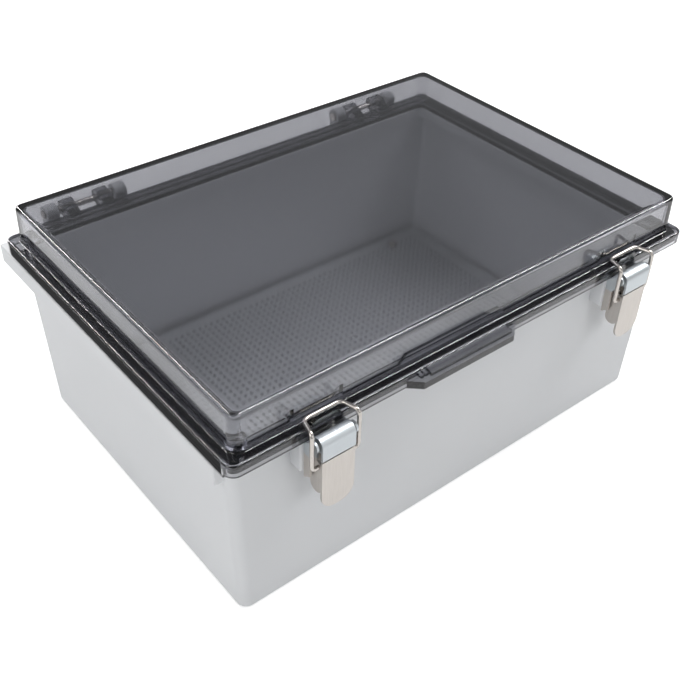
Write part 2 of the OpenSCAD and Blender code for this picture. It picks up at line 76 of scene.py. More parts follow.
TAB_X, TAB_HALF, TAB_SLOPE, TAB_OUT, TAB_Z = -22.5, 35.0, 6.0, 131.4, 119.5
PANEL = (159.5, 106.0, 10.0)
PANEL_Z, PANEL_TOP, GRID, GRID_HOLE = 16.2, 18.2, 5.0, 1.25
GRID_COLUMNS, GRID_ROWS = 59, 39
PANEL_POST, PANEL_POST_R, PANEL_BORE_R = (125.0, 95.0), 6.0, 3.2
WALL_POST, WALL_POST_R, WALL_BORE_R = (140.0, 75.0), 6.7, 3.7

ROUND_STEPS = 10


# ---- ways of modelling ----

def leave_edit():
    if bpy.context.object and bpy.context.object.mode != "OBJECT":
        bpy.ops.object.mode_set(mode="OBJECT")
    bpy.ops.object.select_all(action="DESELECT")


def make_active(piece):
    leave_edit()
    piece.select_set(True)
    bpy.context.view_layer.objects.active = piece


def edit(piece, kind="FACE"):
    make_active(piece)
    bpy.ops.object.mode_set(mode="EDIT")
    bpy.ops.mesh.select_mode(type=kind)


def settle(name):
    """Name the new primitive and put its place and size into its mesh."""
    piece = bpy.context.object
    piece.name = piece.data.name = name
    bpy.ops.object.transform_apply(location=True, rotation=True, scale=True)
    return piece


def pick(piece, kind, test):
    """Select only the verts, edges or faces that pass the test."""
    bpy.ops.mesh.select_mode(type={"verts": "VERT", "edges": "EDGE", "faces": "FACE"}[kind])
    bpy.ops.mesh.select_all(action="DESELECT")
    mesh = bmesh.from_edit_mesh(piece.data)
    for part in getattr(mesh, kind):
        if test(part):
            part.select_set(True)
    mesh.select_flush_mode()
    bmesh.update_edit_mesh(piece.data)


def face_outwards(piece):
    edit(piece)
    bpy.ops.mesh.select_all(action="SELECT")
    bpy.ops.mesh.remove_doubles(threshold=0.002 * MM)
    bpy.ops.mesh.normals_make_consistent(inside=False)
    leave_edit()


def apply_modifier(piece, kind, **settings):
    make_active(piece)
    modifier = piece.modifiers.new(kind.lower(), kind)
    for key, value in settings.items():
        setattr(modifier, key, value)
    bpy.ops.object.modifier_apply(modifier=modifier.name)


def combine(piece, others, operation="UNION"):
    """Join solids to the piece, or cut them out of it."""
    for other in others:
        apply_modifier(piece, "BOOLEAN", object=other, operation=operation, solver="EXACT")
        bpy.data.objects.remove(other)
    return piece


def finish_edges(piece, width=0.0, steps=2, angle=35):
    """Break the sharp edges, then smooth the rounded faces and keep the flat ones flat."""
    if width:
        apply_modifier(piece, "BEVEL", width=width * MM, segments=steps, limit_method="ANGLE",
                       angle_limit=math.radians(40), use_clamp_overlap=True)
    make_active(piece)
    bpy.ops.object.shade_smooth_by_angle(angle=math.radians(angle))
    apply_modifier(piece, "WEIGHTED_NORMAL", keep_sharp=True, weight=80)
    leave_edit()
    return piece


def raise_sections(name, sections, steps=ROUND_STEPS, ring=False):
    """Build a form through rounded rectangles of (half length, half width, corner radius, height)."""
    half_l, half_w, radius, z = sections[0]
    leave_edit()
    bpy.ops.mesh.primitive_plane_add(size=2, location=(0, 0, z * MM))
    bpy.ops.transform.resize(value=(half_l * MM, half_w * MM, 1))
    piece = settle(name)
    edit(piece, "VERT")
    bpy.ops.mesh.select_all(action="SELECT")
    bpy.ops.mesh.bevel(offset=radius * MM, segments=steps, affect="VERTICES")
    bpy.ops.mesh.select_mode(type="FACE")
    bpy.ops.mesh.select_all(action="SELECT")
    for section in sections[1:]:
        new_l, new_w, new_radius, new_z = section
        bpy.ops.mesh.extrude_region_move(TRANSFORM_OT_translate={"value": (0, 0, (new_z - z) * MM)})
        grow = new_radius / radius
        bpy.ops.transform.resize(value=(grow, grow, 1), center_override=(0, 0, new_z * MM))
        push_corners(piece, new_l - half_l * grow, new_w - half_w * grow)
        half_l, half_w, radius, z = section
    if ring:
        sizes = 4 * (steps + 1)
        pick(piece, "faces", lambda face: len(face.verts) == sizes)
        bpy.ops.mesh.delete(type="ONLY_FACE")
        pick(piece, "edges", lambda edge: edge.is_boundary)
        bpy.ops.mesh.bridge_edge_loops()
    face_outwards(piece)
    return piece


def push_corners(piece, shift_l, shift_w):
    """Move the four corners of the selected face outwards."""
    mesh = bmesh.from_edit_mesh(piece.data)
    mesh.verts.index_update()
    rim = [(v.index, v.co.x > 0, v.co.y > 0) for v in mesh.verts if v.select]
    bpy.ops.mesh.select_mode(type="VERT")
    for right in (False, True):
        for rear in (False, True):
            mesh = bmesh.from_edit_mesh(piece.data)
            mesh.verts.ensure_lookup_table()
            for index, is_right, is_rear in rim:
                mesh.verts[index].select_set(is_right == right and is_rear == rear)
            bmesh.update_edit_mesh(piece.data)
            bpy.ops.transform.translate(value=((shift_l if right else -shift_l) * MM,
                                               (shift_w if rear else -shift_w) * MM, 0))
    mesh = bmesh.from_edit_mesh(piece.data)
    mesh.verts.ensure_lookup_table()
    for index, _, _ in rim:
        mesh.verts[index].select_set(True)
    mesh.select_flush(True)
    bmesh.update_edit_mesh(piece.data)
    bpy.ops.mesh.select_mode(type="FACE")


def block(name, low, high, edge=0.5, steps=2):
    """Rectangular form between two corners, with rounded edges."""
    low, high = Vector(low) * MM, Vector(high) * MM
    leave_edit()
    bpy.ops.mesh.primitive_cube_add(size=1, location=(low + high) / 2)
    bpy.ops.transform.resize(value=high - low)
    piece = settle(name)
    edit(piece, "EDGE")
    bpy.ops.mesh.select_all(action="SELECT")
    bpy.ops.mesh.bevel(offset=edge * MM, segments=steps, affect="EDGES")
    leave_edit()
    return piece


def drawn(name, outline, low, high, along="X"):
    """Draw an outline point by point and pull it into a solid.

    The outline is in Y, Z along X; in X, Z along Y; and in X, Y along Z.
    """
    place = {"X": lambda u, v, w: (w, u, v),
             "Y": lambda u, v, w: (u, w, v),
             "Z": lambda u, v, w: (u, v, w)}[along]
    leave_edit()
    bpy.ops.mesh.primitive_plane_add(size=MM, location=(0, 0, 0))
    piece = settle(name)
    edit(piece, "VERT")
    bpy.ops.mesh.select_all(action="SELECT")
    bpy.ops.mesh.merge(type="CENTER")
    here = Vector((0, 0, 0))
    for number, (u, v) in enumerate(outline):
        there = Vector(place(u, v, low)) * MM
        if number:
            bpy.ops.mesh.extrude_vertices_move(TRANSFORM_OT_translate={"value": there - here})
        else:
            bpy.ops.transform.translate(value=there - here)
        here = there
    bpy.ops.mesh.select_all(action="SELECT")
    bpy.ops.mesh.edge_face_add()
    bpy.ops.mesh.select_mode(type="FACE")
    bpy.ops.mesh.extrude_region_move(
        TRANSFORM_OT_translate={"value": Vector(place(0, 0, high - low)) * MM})
    face_outwards(piece)
    return piece


def turned(name, at, along, radius, length, edge=0.2, sides=32, far_end=False):
    """Round bar that starts at a point and runs along X, Y or Z, with one or both ends rounded."""
    turn = {"X": (0, math.pi / 2, 0), "Y": (-math.pi / 2, 0, 0), "Z": (0, 0, 0)}[along]
    step = {"X": Vector((1, 0, 0)), "Y": Vector((0, 1, 0)), "Z": Vector((0, 0, 1))}[along]
    leave_edit()
    bpy.ops.mesh.primitive_cylinder_add(vertices=sides, radius=radius * MM, depth=length * MM, rotation=turn,
                                        location=(Vector(at) + step * length / 2) * MM)
    piece = settle(name)
    if edge:
        edit(piece, "EDGE")
        middle = (Vector(at) + step * length / 2).dot(step) * MM
        pick(piece, "edges", lambda e: any(len(face.verts) == sides for face in e.link_faces)
             and (not far_end or e.verts[0].co.dot(step) > middle))
        bpy.ops.mesh.bevel(offset=edge * MM, segments=4 if far_end else 2, affect="EDGES")
    leave_edit()
    return piece


def arc(centre, radius, start, end, steps):
    """Points on an arc, with angles in degrees."""
    return [(centre[0] + radius * math.cos(math.radians(start + (end - start) * i / steps)),
             centre[1] + radius * math.sin(math.radians(start + (end - start) * i / steps)))
            for i in range(steps + 1)]


def join_pieces(name, pieces):
    leave_edit()
    for piece in pieces:
        piece.select_set(True)
    bpy.context.view_layer.objects.active = pieces[0]
    bpy.ops.object.join()
    pieces[0].name = pieces[0].data.name = name
    return pieces[0]


def at_corners(x, y):
    return [(sx * x, sy * y) for sx in SIDES for sy in SIDES]


def edge_round(radius, steps):
    """Pairs of inset and drop around a rounded edge, from the side face to the end face."""
    turns = [i * math.pi / 2 / steps for i in range(steps + 1)]
    return [(radius * (1 - math.cos(turn)), radius * (1 - math.sin(turn))) for turn in turns]


# ---- base ----

def base_section(inset, z):
    lift = 1 - z / RIM_TOP
    half_l, half_w, radius = BASE
    return (half_l - BASE_TAPER[0] * lift - inset, half_w - BASE_TAPER[1] * lift - inset, radius - inset, z)


def seal_section(offset, z):
    return (SEAL[0] + offset, SEAL[1] + offset, SEAL[2] + offset, z)


def build_tub():
    out = LIP_OUT
    edge = 0.3
    sections = [base_section(inset, drop) for inset, drop in reversed(edge_round(BASE_EDGE, 6))]
    sections += [base_section(0, RIM_Z - 0.4),
                 (BASE[0], SEAL[1] + out, BASE[2], RIM_Z),
                 (BASE[0], SEAL[1] + out, BASE[2], RIM_TOP - 0.4),
                 (BASE[0] - 0.4, SEAL[1] + out - 0.15, BASE[2] - 0.3, RIM_TOP),
                 (SEAL[0] + out, SEAL[1] + out - 0.25, SEAL[2] + out, RIM_TOP),
                 (SEAL[0] + out, SEAL[1] + out - 0.25, SEAL[2] + out, LIP_TOP - edge),
                 seal_section(out - edge, LIP_TOP),
                 seal_section(out - 1 + edge, LIP_TOP),
                 seal_section(out - 1, LIP_TOP - edge),
                 seal_section(out - 1, RIM_TOP),
                 seal_section(1 - out, RIM_TOP),
                 seal_section(1 - out, LIP_TOP - edge),
                 seal_section(1 - out - edge, LIP_TOP),
                 seal_section(-out + edge, LIP_TOP),
                 seal_section(-out, LIP_TOP - edge),
                 seal_section(-out, RIM_Z + 0.4),
                 base_section(BASE_WALL, RIM_Z)]
    sections += [base_section(BASE_WALL + inset, FLOOR + drop) for inset, drop in edge_round(FLOOR_EDGE, 5)]
    return raise_sections("base_tub", sections)


def base_knuckle(x):
    heel = HINGE_Y - KNUCKLE + 0.4
    outline = [(heel, RAIL_TOP - 0.5), (SHELF_Y, RAIL_TOP - 0.5), (SHELF_Y, HINGE_Z - 4)]
    outline += arc((HINGE_Y, HINGE_Z), KNUCKLE, -15, 180, 20)
    outline += [(heel, HINGE_Z - 1)]
    return drawn("base_knuckle", outline, x - KNUCKLE_HALF, x + KNUCKLE_HALF)


def pin_bores(radius):
    """The hinge pins' bores on both sides, as one form to cut with."""
    bores = [turned("pin_bore", (s * HINGE_X - PIN_HALF, HINGE_Y, HINGE_Z), "X", radius, 2 * PIN_HALF, 0)
             for s in SIDES]
    return join_pieces("pin_bores", bores)


def build_base():
    tub = build_tub()
    shelf = block("shelf", (-175, -110, RAIL_Z), (175, SHELF_Y, RAIL_TOP), 1.0, 3)
    combine(shelf, [block("inside", (-168, -130, 90), (168, 113.6, 130), 3.0, 3),
                    block("pocket", (-166.5, 111, 90), (166.5, SHELF_Y - 3, RAIL_TOP - 3), 1.0)],
            "DIFFERENCE")
    hinge_places = [s * HINGE_X + k for s in SIDES for k in (-OUTER_KNUCKLE, OUTER_KNUCKLE)]
    ribs = [block("rib", (x - 1.5, 112.5, RAIL_Z + 0.5), (x + 1.5, SHELF_Y - 1, RAIL_TOP - 1), 0.2)
            for x in hinge_places]
    pads = [block("pad", (x - 15.3, PAD_FRONT, PAD_Z), (x + 15.3, -112.6, PAD_TOP), 1.4, 4)
            for x in (-LATCH_X, LATCH_X)]
    knuckles = [base_knuckle(x) for x in hinge_places]
    posts = [turned("post", (x, y, FLOOR - 0.5), "Z", PANEL_POST_R, PANEL_Z - FLOOR + 0.5)
             for x, y in at_corners(*PANEL_POST)]
    posts += [turned("post", (x, y, FLOOR - 0.5), "Z", WALL_POST_R, 9.0) for x, y in at_corners(*WALL_POST)]
    bores = [turned("bore", (x, y, -1), "Z", WALL_BORE_R, 11, 0) for x, y in at_corners(*WALL_POST)]
    bores += [turned("bore", (x, y, PANEL_Z - 8), "Z", PANEL_BORE_R, 9, 0)
              for x, y in at_corners(*PANEL_POST)]
    combine(tub, [shelf] + ribs + pads + knuckles + posts)
    combine(tub, [join_pieces("bores", bores), pin_bores(PIN_R)], "DIFFERENCE")
    tub.name = tub.data.name = "base_body"
    return finish_edges(tub, 0.25)


# ---- cover ----

def dome_section(form, inset, z):
    draft = DOME_DRAFT * (z - FLANGE_Z) / (COVER_TOP - FLANGE_Z)
    return (form[0] - draft - inset, form[1] - draft - inset, form[2] - inset, z)


def flange_section(inset, z):
    return (FLANGE[0] - inset, FLANGE[1] - inset, FLANGE[2] - inset, z)


def dome_foot(radius, turn):
    """Section of the hollow rounding between the flange and the dome."""
    out = radius * (1 - math.sin(turn))
    return (DOME[0] + out, DOME[1] + out, DOME[2] + out, FLANGE_TOP + radius * (1 - math.cos(turn)))


def build_dome():
    ceiling = COVER_TOP - COVER_WALL
    sections = [dome_section(CAVITY, inset, ceiling - drop)
                for inset, drop in reversed(edge_round(CAVITY_EDGE, 5))]
    sections += [dome_section(CAVITY, 0, LEDGE_TOP), seal_section(-GROOVE_HALF, LEDGE_TOP),
                 seal_section(-GROOVE_HALF, GROOVE_TOP), seal_section(GROOVE_HALF, GROOVE_TOP),
                 seal_section(GROOVE_HALF, FLANGE_Z), flange_section(3.0, FLANGE_Z),
                 flange_section(3.0, SKIRT_Z + 0.3), flange_section(2.7, SKIRT_Z),
                 flange_section(0.5, SKIRT_Z), flange_section(0, SKIRT_Z + 0.5)]
    sections += [flange_section(inset, FLANGE_TOP - drop) for inset, drop in edge_round(1.0, 4)]
    sections += [dome_foot(1.0, turn) for turn in (0.0, math.pi / 6, math.pi / 3)]
    sections += [dome_section(DOME, inset, COVER_TOP - drop) for inset, drop in edge_round(COVER_EDGE, 8)]
    return raise_sections("cover_dome", sections)


def pull_tab():
    left, right = TAB_X - TAB_HALF, TAB_X + TAB_HALF
    outline = [(left - TAB_SLOPE, -122.5), (left - TAB_SLOPE, -125)]
    outline += arc((left + 1.5, -TAB_OUT + 1.5), 1.5, 200, 270, 4)
    outline += arc((right - 1.5, -TAB_OUT + 1.5), 1.5, 270, 340, 4)
    outline += [(right + TAB_SLOPE, -125), (right + TAB_SLOPE, -122.5)]
    tab = drawn("tab", outline, TAB_Z, TAB_Z + 5, "Z")
    grip = [(left + 8, -124.5), (left + 6.5, -130.2), (right - 2.5, -130.2), (right - 2, -129.7),
            (right - 2, -124.5)]
    lugs = [block("lug", (x, -128.4, FLANGE_Z), (x + 2.2, -124.5, FLANGE_Z + 2.6), 0.3)
            for x in (left + 1.2, left + 4.2)]
    return combine(tab, [drawn("grip", grip, FLANGE_Z, FLANGE_Z + 3.1, "Z")] + lugs)


def catch(x):
    lip_front, lip_back, seat, lip = -125.0, -122.5, 129.35, 130.85
    plate = block("catch_seat", (x - 9, -124.9, FLANGE_TOP - 0.5), (x + 9, -117.9, seat), 0.15)
    outline = [(x - 8, FLANGE_TOP - 0.3), (x + 8, FLANGE_TOP - 0.3), (x + 8, lip - 1.4), (x + 6.8, lip),
               (x - 6.8, lip), (x - 8, lip - 1.4)]
    return [plate, drawn("catch_lip", outline, lip_front + 0.05, lip_back, "Y")]


def cover_knuckle(x, side):
    arm = [(HINGE_Y, HINGE_Z - KNUCKLE), (124, FLANGE_Z), (124, FLANGE_TOP - 0.2), (118.6, FLANGE_TOP + 0.6)]
    outline = arm + arc((HINGE_Y, HINGE_Z), KNUCKLE, 125, -90, 24)[:-1]
    knuckle = drawn("cover_knuckle", outline, x - KNUCKLE_HALF, x + KNUCKLE_HALF)
    collar = OUTER_KNUCKLE - INNER_KNUCKLE - 2 * KNUCKLE_HALF - 0.3
    start = x + KNUCKLE_HALF - 0.4 if side > 0 else x - KNUCKLE_HALF - collar
    return [knuckle, turned("collar", (start, HINGE_Y, HINGE_Z), "X", 3.2, collar + 0.4)]


def inner_ribs():
    wall = -DOME[1] + COVER_WALL - 0.5
    foot = GROOVE_TOP + 0.4
    band = 15.5
    ribs = []
    for x in (-LATCH_X, LATCH_X):
        ribs.append(block("rib_band", (x - band, wall, foot), (x + band, wall + 2.4, foot + 4), 0.3))
        for end in (x - band, x + band):
            outline = [(wall, foot), (wall + 4.5, foot), (wall + 4.5, foot + 4.1), (wall, foot + 10.6)]
            ribs.append(drawn("rib_tip", outline, end - 1.2, end + 1.2))
    left, right = TAB_X - TAB_HALF, TAB_X + TAB_HALF
    outline = [(left - TAB_SLOPE, foot), (right + TAB_SLOPE, foot), (right, foot + 6.6), (left, foot + 6.6)]
    ribs.append(drawn("rib_tab", outline, wall, wall + 2.6, "Y"))
    ribs += [turned("corner_post", (x, y, foot), "Z", 4.0, 6.0, 0.4, 24) for x, y in at_corners(161.9, 111.9)]
    return ribs


def build_cover():
    cover = build_dome()
    skirts = [block("side_skirt", (left, -118.5, SIDE_SKIRT_Z), (left + 3, 118.5, SKIRT_Z + 1.2), 0.4)
              for left in (-FLANGE[0], FLANGE[0] - 3)]
    added = skirts + [pull_tab()] + inner_ribs()
    for s in SIDES:
        added += catch(s * LATCH_X)
        for k in SIDES:
            added += cover_knuckle(s * HINGE_X + k * INNER_KNUCKLE, k)
    combine(cover, added)
    combine(cover, [pin_bores(PIN_BORE_R)] + strip_seats(), "DIFFERENCE")
    cover.name = cover.data.name = "cover_clear"
    return finish_edges(cover)


def strip_seats():
    """Shallow seats cut for the side strips."""
    deep = FLANGE[0] - STRIP_DEEP
    return [block("strip_seat", (left, -STRIP_HALF - SEAT_GAP, STRIP_Z[0] - SEAT_GAP),
                  (right, STRIP_HALF + SEAT_GAP, STRIP_Z[1] + SEAT_GAP), 0.04)
            for left, right in ((-176, -deep), (deep, 176))]


# ---- gasket and side strips ----

def shade_lip():
    """Flat black lip joined to the gasket, under the flange at the front and along the short sides: painted
    shade, a black solid that darkens the band under the flange where there is shade.
    """
    low, top = RIM_TOP + 0.05, SHADE_LIP_TOP
    edge = (SEAL[0] + SHADE_LIP_OUT, SEAL[1] + SHADE_LIP_OUT, SHADE_LIP_ROUND)
    lip = raise_sections("shade_lip", [edge + (low,), edge + (top,)])
    inside = raise_sections("inside", [seal_section(LIP_OUT, low - 1), seal_section(LIP_OUT, top + 1)])
    rear = block("rear", (-180, SHADE_LIP_REAR, low - 1), (180, 130, top + 1))
    return combine(lip, [inside, rear], "DIFFERENCE")


def build_gasket():
    half, top = GASKET_HALF, GASKET_TOP
    rounding = edge_round(GASKET_ROUND, 5)
    sections = [seal_section(half, RIM_TOP)]
    sections += [seal_section(half - inset, top - drop) for inset, drop in rounding]
    sections += [seal_section(inset - half, top - drop) for inset, drop in reversed(rounding)]
    sections += [seal_section(-half, RIM_TOP)]
    gasket = raise_sections("gasket_ring", sections, ring=True)
    # The black lip joined here is painted shade under the flange.
    return finish_edges(join_pieces("gasket_ring", [gasket, shade_lip()]))


def build_side_strip(name, side):
    """Black strip with a middle groove, let into the outer face of one short side of the cover: painted
    shade, a black solid standing for the dark shadow gap under the flange.
    """
    low, high = STRIP_Z
    middle, deep = (low + high) / 2, STRIP_DEEP - SEAT_GAP
    profile = [(deep, low), (0.12, low), (0, low + 0.25), (0, middle - 0.5), (0.15, middle - 0.3),
               (0.15, middle + 0.3), (0, middle + 0.5), (0, high - 0.25), (0.12, high), (deep, high)]
    outline = [(side * (FLANGE[0] - inset), z) for inset, z in profile]
    return finish_edges(drawn(name, outline, -STRIP_HALF, STRIP_HALF, "Y"))


# ---- latches ----

def build_lever(name, x):
    low, high = x - 10.6, x + 10.6
    front = LEVER_Y - ROLL
    hood = arc((LEVER_Y, LEVER_Z), ROLL, 34, 180, 22) + [(front, 112.1), (front + SHEET, 112.1)]
    hood += arc((LEVER_Y, LEVER_Z), ROLL - SHEET, 180, 34, 18)
    lever = drawn(name, hood, low, high)
    tail = [(low, 110.7)] + arc((x - 1.6, 85), 9.0, 180, 270, 12) + arc((x + 1.6, 85), 9.0, 270, 360, 12)
    tail += [(high, 110.7)]
    plate = drawn("plate", tail, front + 0.4, front + 0.4 + SHEET, "Y")
    back, inner = LEVER_Y + ROLL + 0.9, front + SHEET
    mid, foot = (back + inner) / 2, 91.7
    cheek = arc((LEVER_Y, LEVER_Z), ROLL - 0.05, 0, 180, 18) + [(inner - 0.3, LEVER_Z - 4)]
    cheek += arc((mid - 0.1, foot), (back - inner) / 2 + 0.2, 180, 360, 16)
    cheek += [(back, 112), (back - 0.9, LEVER_Z - 1)]
    cheeks = [drawn("cheek", cheek, start, start + SHEET) for start in (low, high - SHEET)]
    combine(lever, [plate] + cheeks)
    cuts = [block("window", (low - 1, -136.8, 109.4), (high + 1, -130.4, 117.2), 0.8, 3),
            turned("bore", (low - 1, PIVOT_Y, PIVOT_Z), "X", WIRE + 0.06, high - low + 2, 0),
            turned("bore", (low - 1, LEVER_Y, LEVER_Z), "X", 1.56, high - low + 2, 0)]
    face = block("keep_front", (low - 2, front - 1, 100), (high + 2, front + SHEET, 125), 0.05)
    cuts[0] = combine(cuts[0], [face], "DIFFERENCE")
    combine(lever, cuts, "DIFFERENCE")
    return finish_edges(lever, 0.18)


def build_bail(name, x):
    """Wire bent from one pivot end to the middle of its top bar, then mirrored."""
    leg, bar_y, bar_z = 15.0, -120.95, 130.9
    slant = math.radians(16)
    wire_end, foot_bend, top_bend, corner = 8.5, 2.6, 3.0, 4.0
    side = Vector((-math.sin(slant), math.cos(slant), 0))
    tip_x = leg - (bar_y - PIVOT_Y) * math.tan(slant)
    turn = math.pi / 2 - slant
    tangent = corner * math.tan(turn / 2)
    leave_edit()
    bpy.ops.mesh.primitive_circle_add(vertices=20, radius=WIRE * MM, fill_type="NGON",
                                      location=(wire_end * MM, PIVOT_Y * MM, PIVOT_Z * MM),
                                      rotation=(0, math.pi / 2, 0))
    bail = settle(name)
    edit(bail)
    bpy.ops.mesh.select_all(action="SELECT")

    def straight(move):
        bpy.ops.mesh.extrude_region_move(TRANSFORM_OT_translate={"value": move * MM})

    def bend(centre, axis, angle):
        bpy.ops.mesh.spin(steps=8, angle=-angle, center=centre * MM, axis=axis)

    straight(Vector((leg - foot_bend - wire_end, 0, 0)))
    bend(Vector((leg - foot_bend, PIVOT_Y, PIVOT_Z + foot_bend)), (0, -1, 0), math.pi / 2)
    straight(Vector((0, 0, bar_z - top_bend - PIVOT_Z - foot_bend)))
    shoulder = Vector((leg, PIVOT_Y, bar_z - top_bend)) + top_bend * side
    bend(shoulder, Vector((0, 0, 1)).cross(side), math.pi / 2)
    bend_start = Vector((tip_x, bar_y, bar_z)) - tangent * side
    straight(bend_start - shoulder - Vector((0, 0, top_bend)))
    centre = bend_start + corner * Vector((-side.y, side.x, 0))
    bend(centre, (0, 0, 1), turn)
    straight(Vector((tangent - tip_x, 0, 0)))
    bpy.ops.mesh.delete(type="FACE")
    face_outwards(bail)
    apply_modifier(bail, "MIRROR", use_axis=(True, False, False), use_mirror_merge=True,
                   merge_threshold=0.01 * MM)
    face_outwards(bail)
    bail.data.transform(Matrix.Translation((x * MM, 0, 0)))
    return finish_edges(bail, angle=50)


def pan_screws(name, places, along, head_r, head_h, shank_r, shank_l):
    """Cross-recessed screws with domed heads, facing up or to the front."""
    screws = []
    for place in places:
        head = turned("head", (0, 0, 0), "Z", head_r, head_h, head_h * 0.7, 32, far_end=True)
        shank = turned("shank", (0, 0, -shank_l), "Z", shank_r, shank_l + 0.3, 0.3, 20)
        arm, deep = head_r * 0.52, head_h * 0.55
        slots = [block("slot", (-a, -b, head_h - deep), (a, b, head_h + 1), 0.1)
                 for a, b in ((arm, 0.4), (0.4, arm))]
        screw = combine(combine(head, [shank]), slots, "DIFFERENCE")
        if along == "Y":
            screw.data.transform(Matrix.Rotation(math.pi / 2, 4, "X"))
        screw.data.transform(Matrix.Translation(Vector(place) * MM))
        screws.append(screw)
    return finish_edges(join_pieces(name, screws))


# ---- mounting panel ----

def build_panel():
    """Plate with a square grid of holes, built from one cell that is repeated both ways."""
    columns, rows = GRID_COLUMNS, GRID_ROWS
    cell = GRID / 2 * MM
    leave_edit()
    bpy.ops.mesh.primitive_circle_add(vertices=8, radius=GRID_HOLE * MM, fill_type="NOTHING",
                                      location=(-(columns - 1) * cell, -(rows - 1) * cell, PANEL_TOP * MM))
    centre = bpy.context.object.location.copy()
    panel = settle("panel_plate")
    edit(panel, "EDGE")
    bpy.ops.mesh.select_all(action="SELECT")
    bpy.ops.mesh.extrude_edges_move()
    bpy.ops.transform.resize(value=(GRID / 2 / GRID_HOLE,) * 2 + (1,), center_override=centre)
    pick(panel, "verts", lambda v: abs(v.co.x - centre.x) > cell * 0.5 and abs(v.co.y - centre.y) > cell * 0.5
         and (v.co - centre).length > GRID_HOLE * 1.5 * MM)
    bpy.ops.transform.resize(value=(math.sqrt(2), math.sqrt(2), 1), center_override=centre)
    leave_edit()
    for count, step in ((columns, (1, 0, 0)), (rows, (0, 1, 0))):
        apply_modifier(panel, "ARRAY", count=count, use_relative_offset=False, use_constant_offset=True,
                       constant_offset_displace=Vector(step) * GRID * MM, use_merge_vertices=True,
                       merge_threshold=0.01 * MM)
    half_l, half_w = columns * cell, rows * cell
    edit(panel, "EDGE")
    near = 0.01 * MM
    borders = ((0, half_l), (1, half_w))
    pick(panel, "edges", lambda e: e.is_boundary and any(
        all(abs(abs(v.co[axis]) - half) < near for v in e.verts) for axis, half in borders))
    bpy.ops.mesh.extrude_edges_move()
    mesh = bmesh.from_edit_mesh(panel.data)
    moved = [v.index for v in mesh.verts if v.select]
    for axis, half, border in ((0, half_l, PANEL[0] * MM - half_l), (1, half_w, PANEL[1] * MM - half_w)):
        for sign in SIDES:
            bpy.ops.mesh.select_mode(type="VERT")
            mesh = bmesh.from_edit_mesh(panel.data)
            mesh.verts.ensure_lookup_table()
            bpy.ops.mesh.select_all(action="DESELECT")
            for index in moved:
                vert = mesh.verts[index]
                vert.select_set(sign * vert.co[axis] > half - near)
            bmesh.update_edit_mesh(panel.data)
            move = [0, 0, 0]
            move[axis] = sign * border
            bpy.ops.transform.translate(value=move)
    corner = PANEL[2] * MM
    for sx in SIDES:
        for sy in SIDES:
            for step in range(5):
                turn = math.radians(9 + 18 * step)
                out = Vector((sx * math.cos(turn), sy * math.sin(turn), 0))
                hub = Vector((sx * (PANEL[0] * MM - corner), sy * (PANEL[1] * MM - corner), PANEL_TOP * MM))
                bpy.ops.mesh.select_mode(type="FACE")
                bpy.ops.mesh.select_all(action="SELECT")
                bpy.ops.mesh.bisect(plane_co=hub + out * corner, plane_no=out, clear_outer=True)
    bpy.ops.mesh.select_all(action="SELECT")
    bpy.ops.mesh.normals_make_consistent(inside=False)
    leave_edit()
    if panel.data.polygons[0].normal.z < 0:
        edit(panel)
        bpy.ops.mesh.select_all(action="SELECT")
        bpy.ops.mesh.flip_normals()
        leave_edit()
    apply_modifier(panel, "SOLIDIFY", thickness=(PANEL_TOP - PANEL_Z) * MM, offset=-1)
    return finish_edges(panel)


# ---- finishes ----

def new_group(name, inputs, outputs):
    group = bpy.data.node_groups.new(name, "ShaderNodeTree")
    for label, kind, value in inputs:
        socket = group.interface.new_socket(name=label, in_out="INPUT", socket_type=kind)
        if value is not None:
            socket.default_value = value
    for label, kind in outputs:
        group.interface.new_socket(name=label, in_out="OUTPUT", socket_type=kind)
    return group, group.nodes.new("NodeGroupInput"), group.nodes.new("NodeGroupOutput")


def add(tree, kind, **settings):
    node = tree.nodes.new(kind)
    for key, value in settings.items():
        setattr(node, key, value)
    return node


def moulded_grain():
    """Fine grain and slow variation of a moulded surface."""
    group, inside, out = new_group(
        "moulded_grain",
        [("Place", "NodeSocketVector", None), ("Grain size", "NodeSocketFloat", 900.0),
         ("Light", "NodeSocketColor", None), ("Dark", "NodeSocketColor", None),
         ("Least rough", "NodeSocketFloat", 0.4), ("Most rough", "NodeSocketFloat", 0.5)],
        [("Color", "NodeSocketColor"), ("Roughness", "NodeSocketFloat"), ("Height", "NodeSocketFloat")])
    link = group.links.new
    grain = add(group, "ShaderNodeTexNoise")
    grain.inputs["Detail"].default_value = 3
    link(inside.outputs["Place"], grain.inputs["Vector"])
    link(inside.outputs["Grain size"], grain.inputs["Scale"])
    cloud = add(group, "ShaderNodeTexNoise")
    cloud.inputs["Scale"].default_value = 14
    cloud.inputs["Detail"].default_value = 4
    link(inside.outputs["Place"], cloud.inputs["Vector"])
    tint = add(group, "ShaderNodeMix", data_type="RGBA")
    link(cloud.outputs["Fac"], tint.inputs["Factor"])
    link(inside.outputs["Light"], tint.inputs["A"])
    link(inside.outputs["Dark"], tint.inputs["B"])
    rough = add(group, "ShaderNodeMapRange")
    link(cloud.outputs["Fac"], rough.inputs["Value"])
    link(inside.outputs["Least rough"], rough.inputs["To Min"])
    link(inside.outputs["Most rough"], rough.inputs["To Max"])
    link(tint.outputs["Result"], out.inputs["Color"])
    link(rough.outputs["Result"], out.inputs["Roughness"])
    link(grain.outputs["Fac"], out.inputs["Height"])
    return group


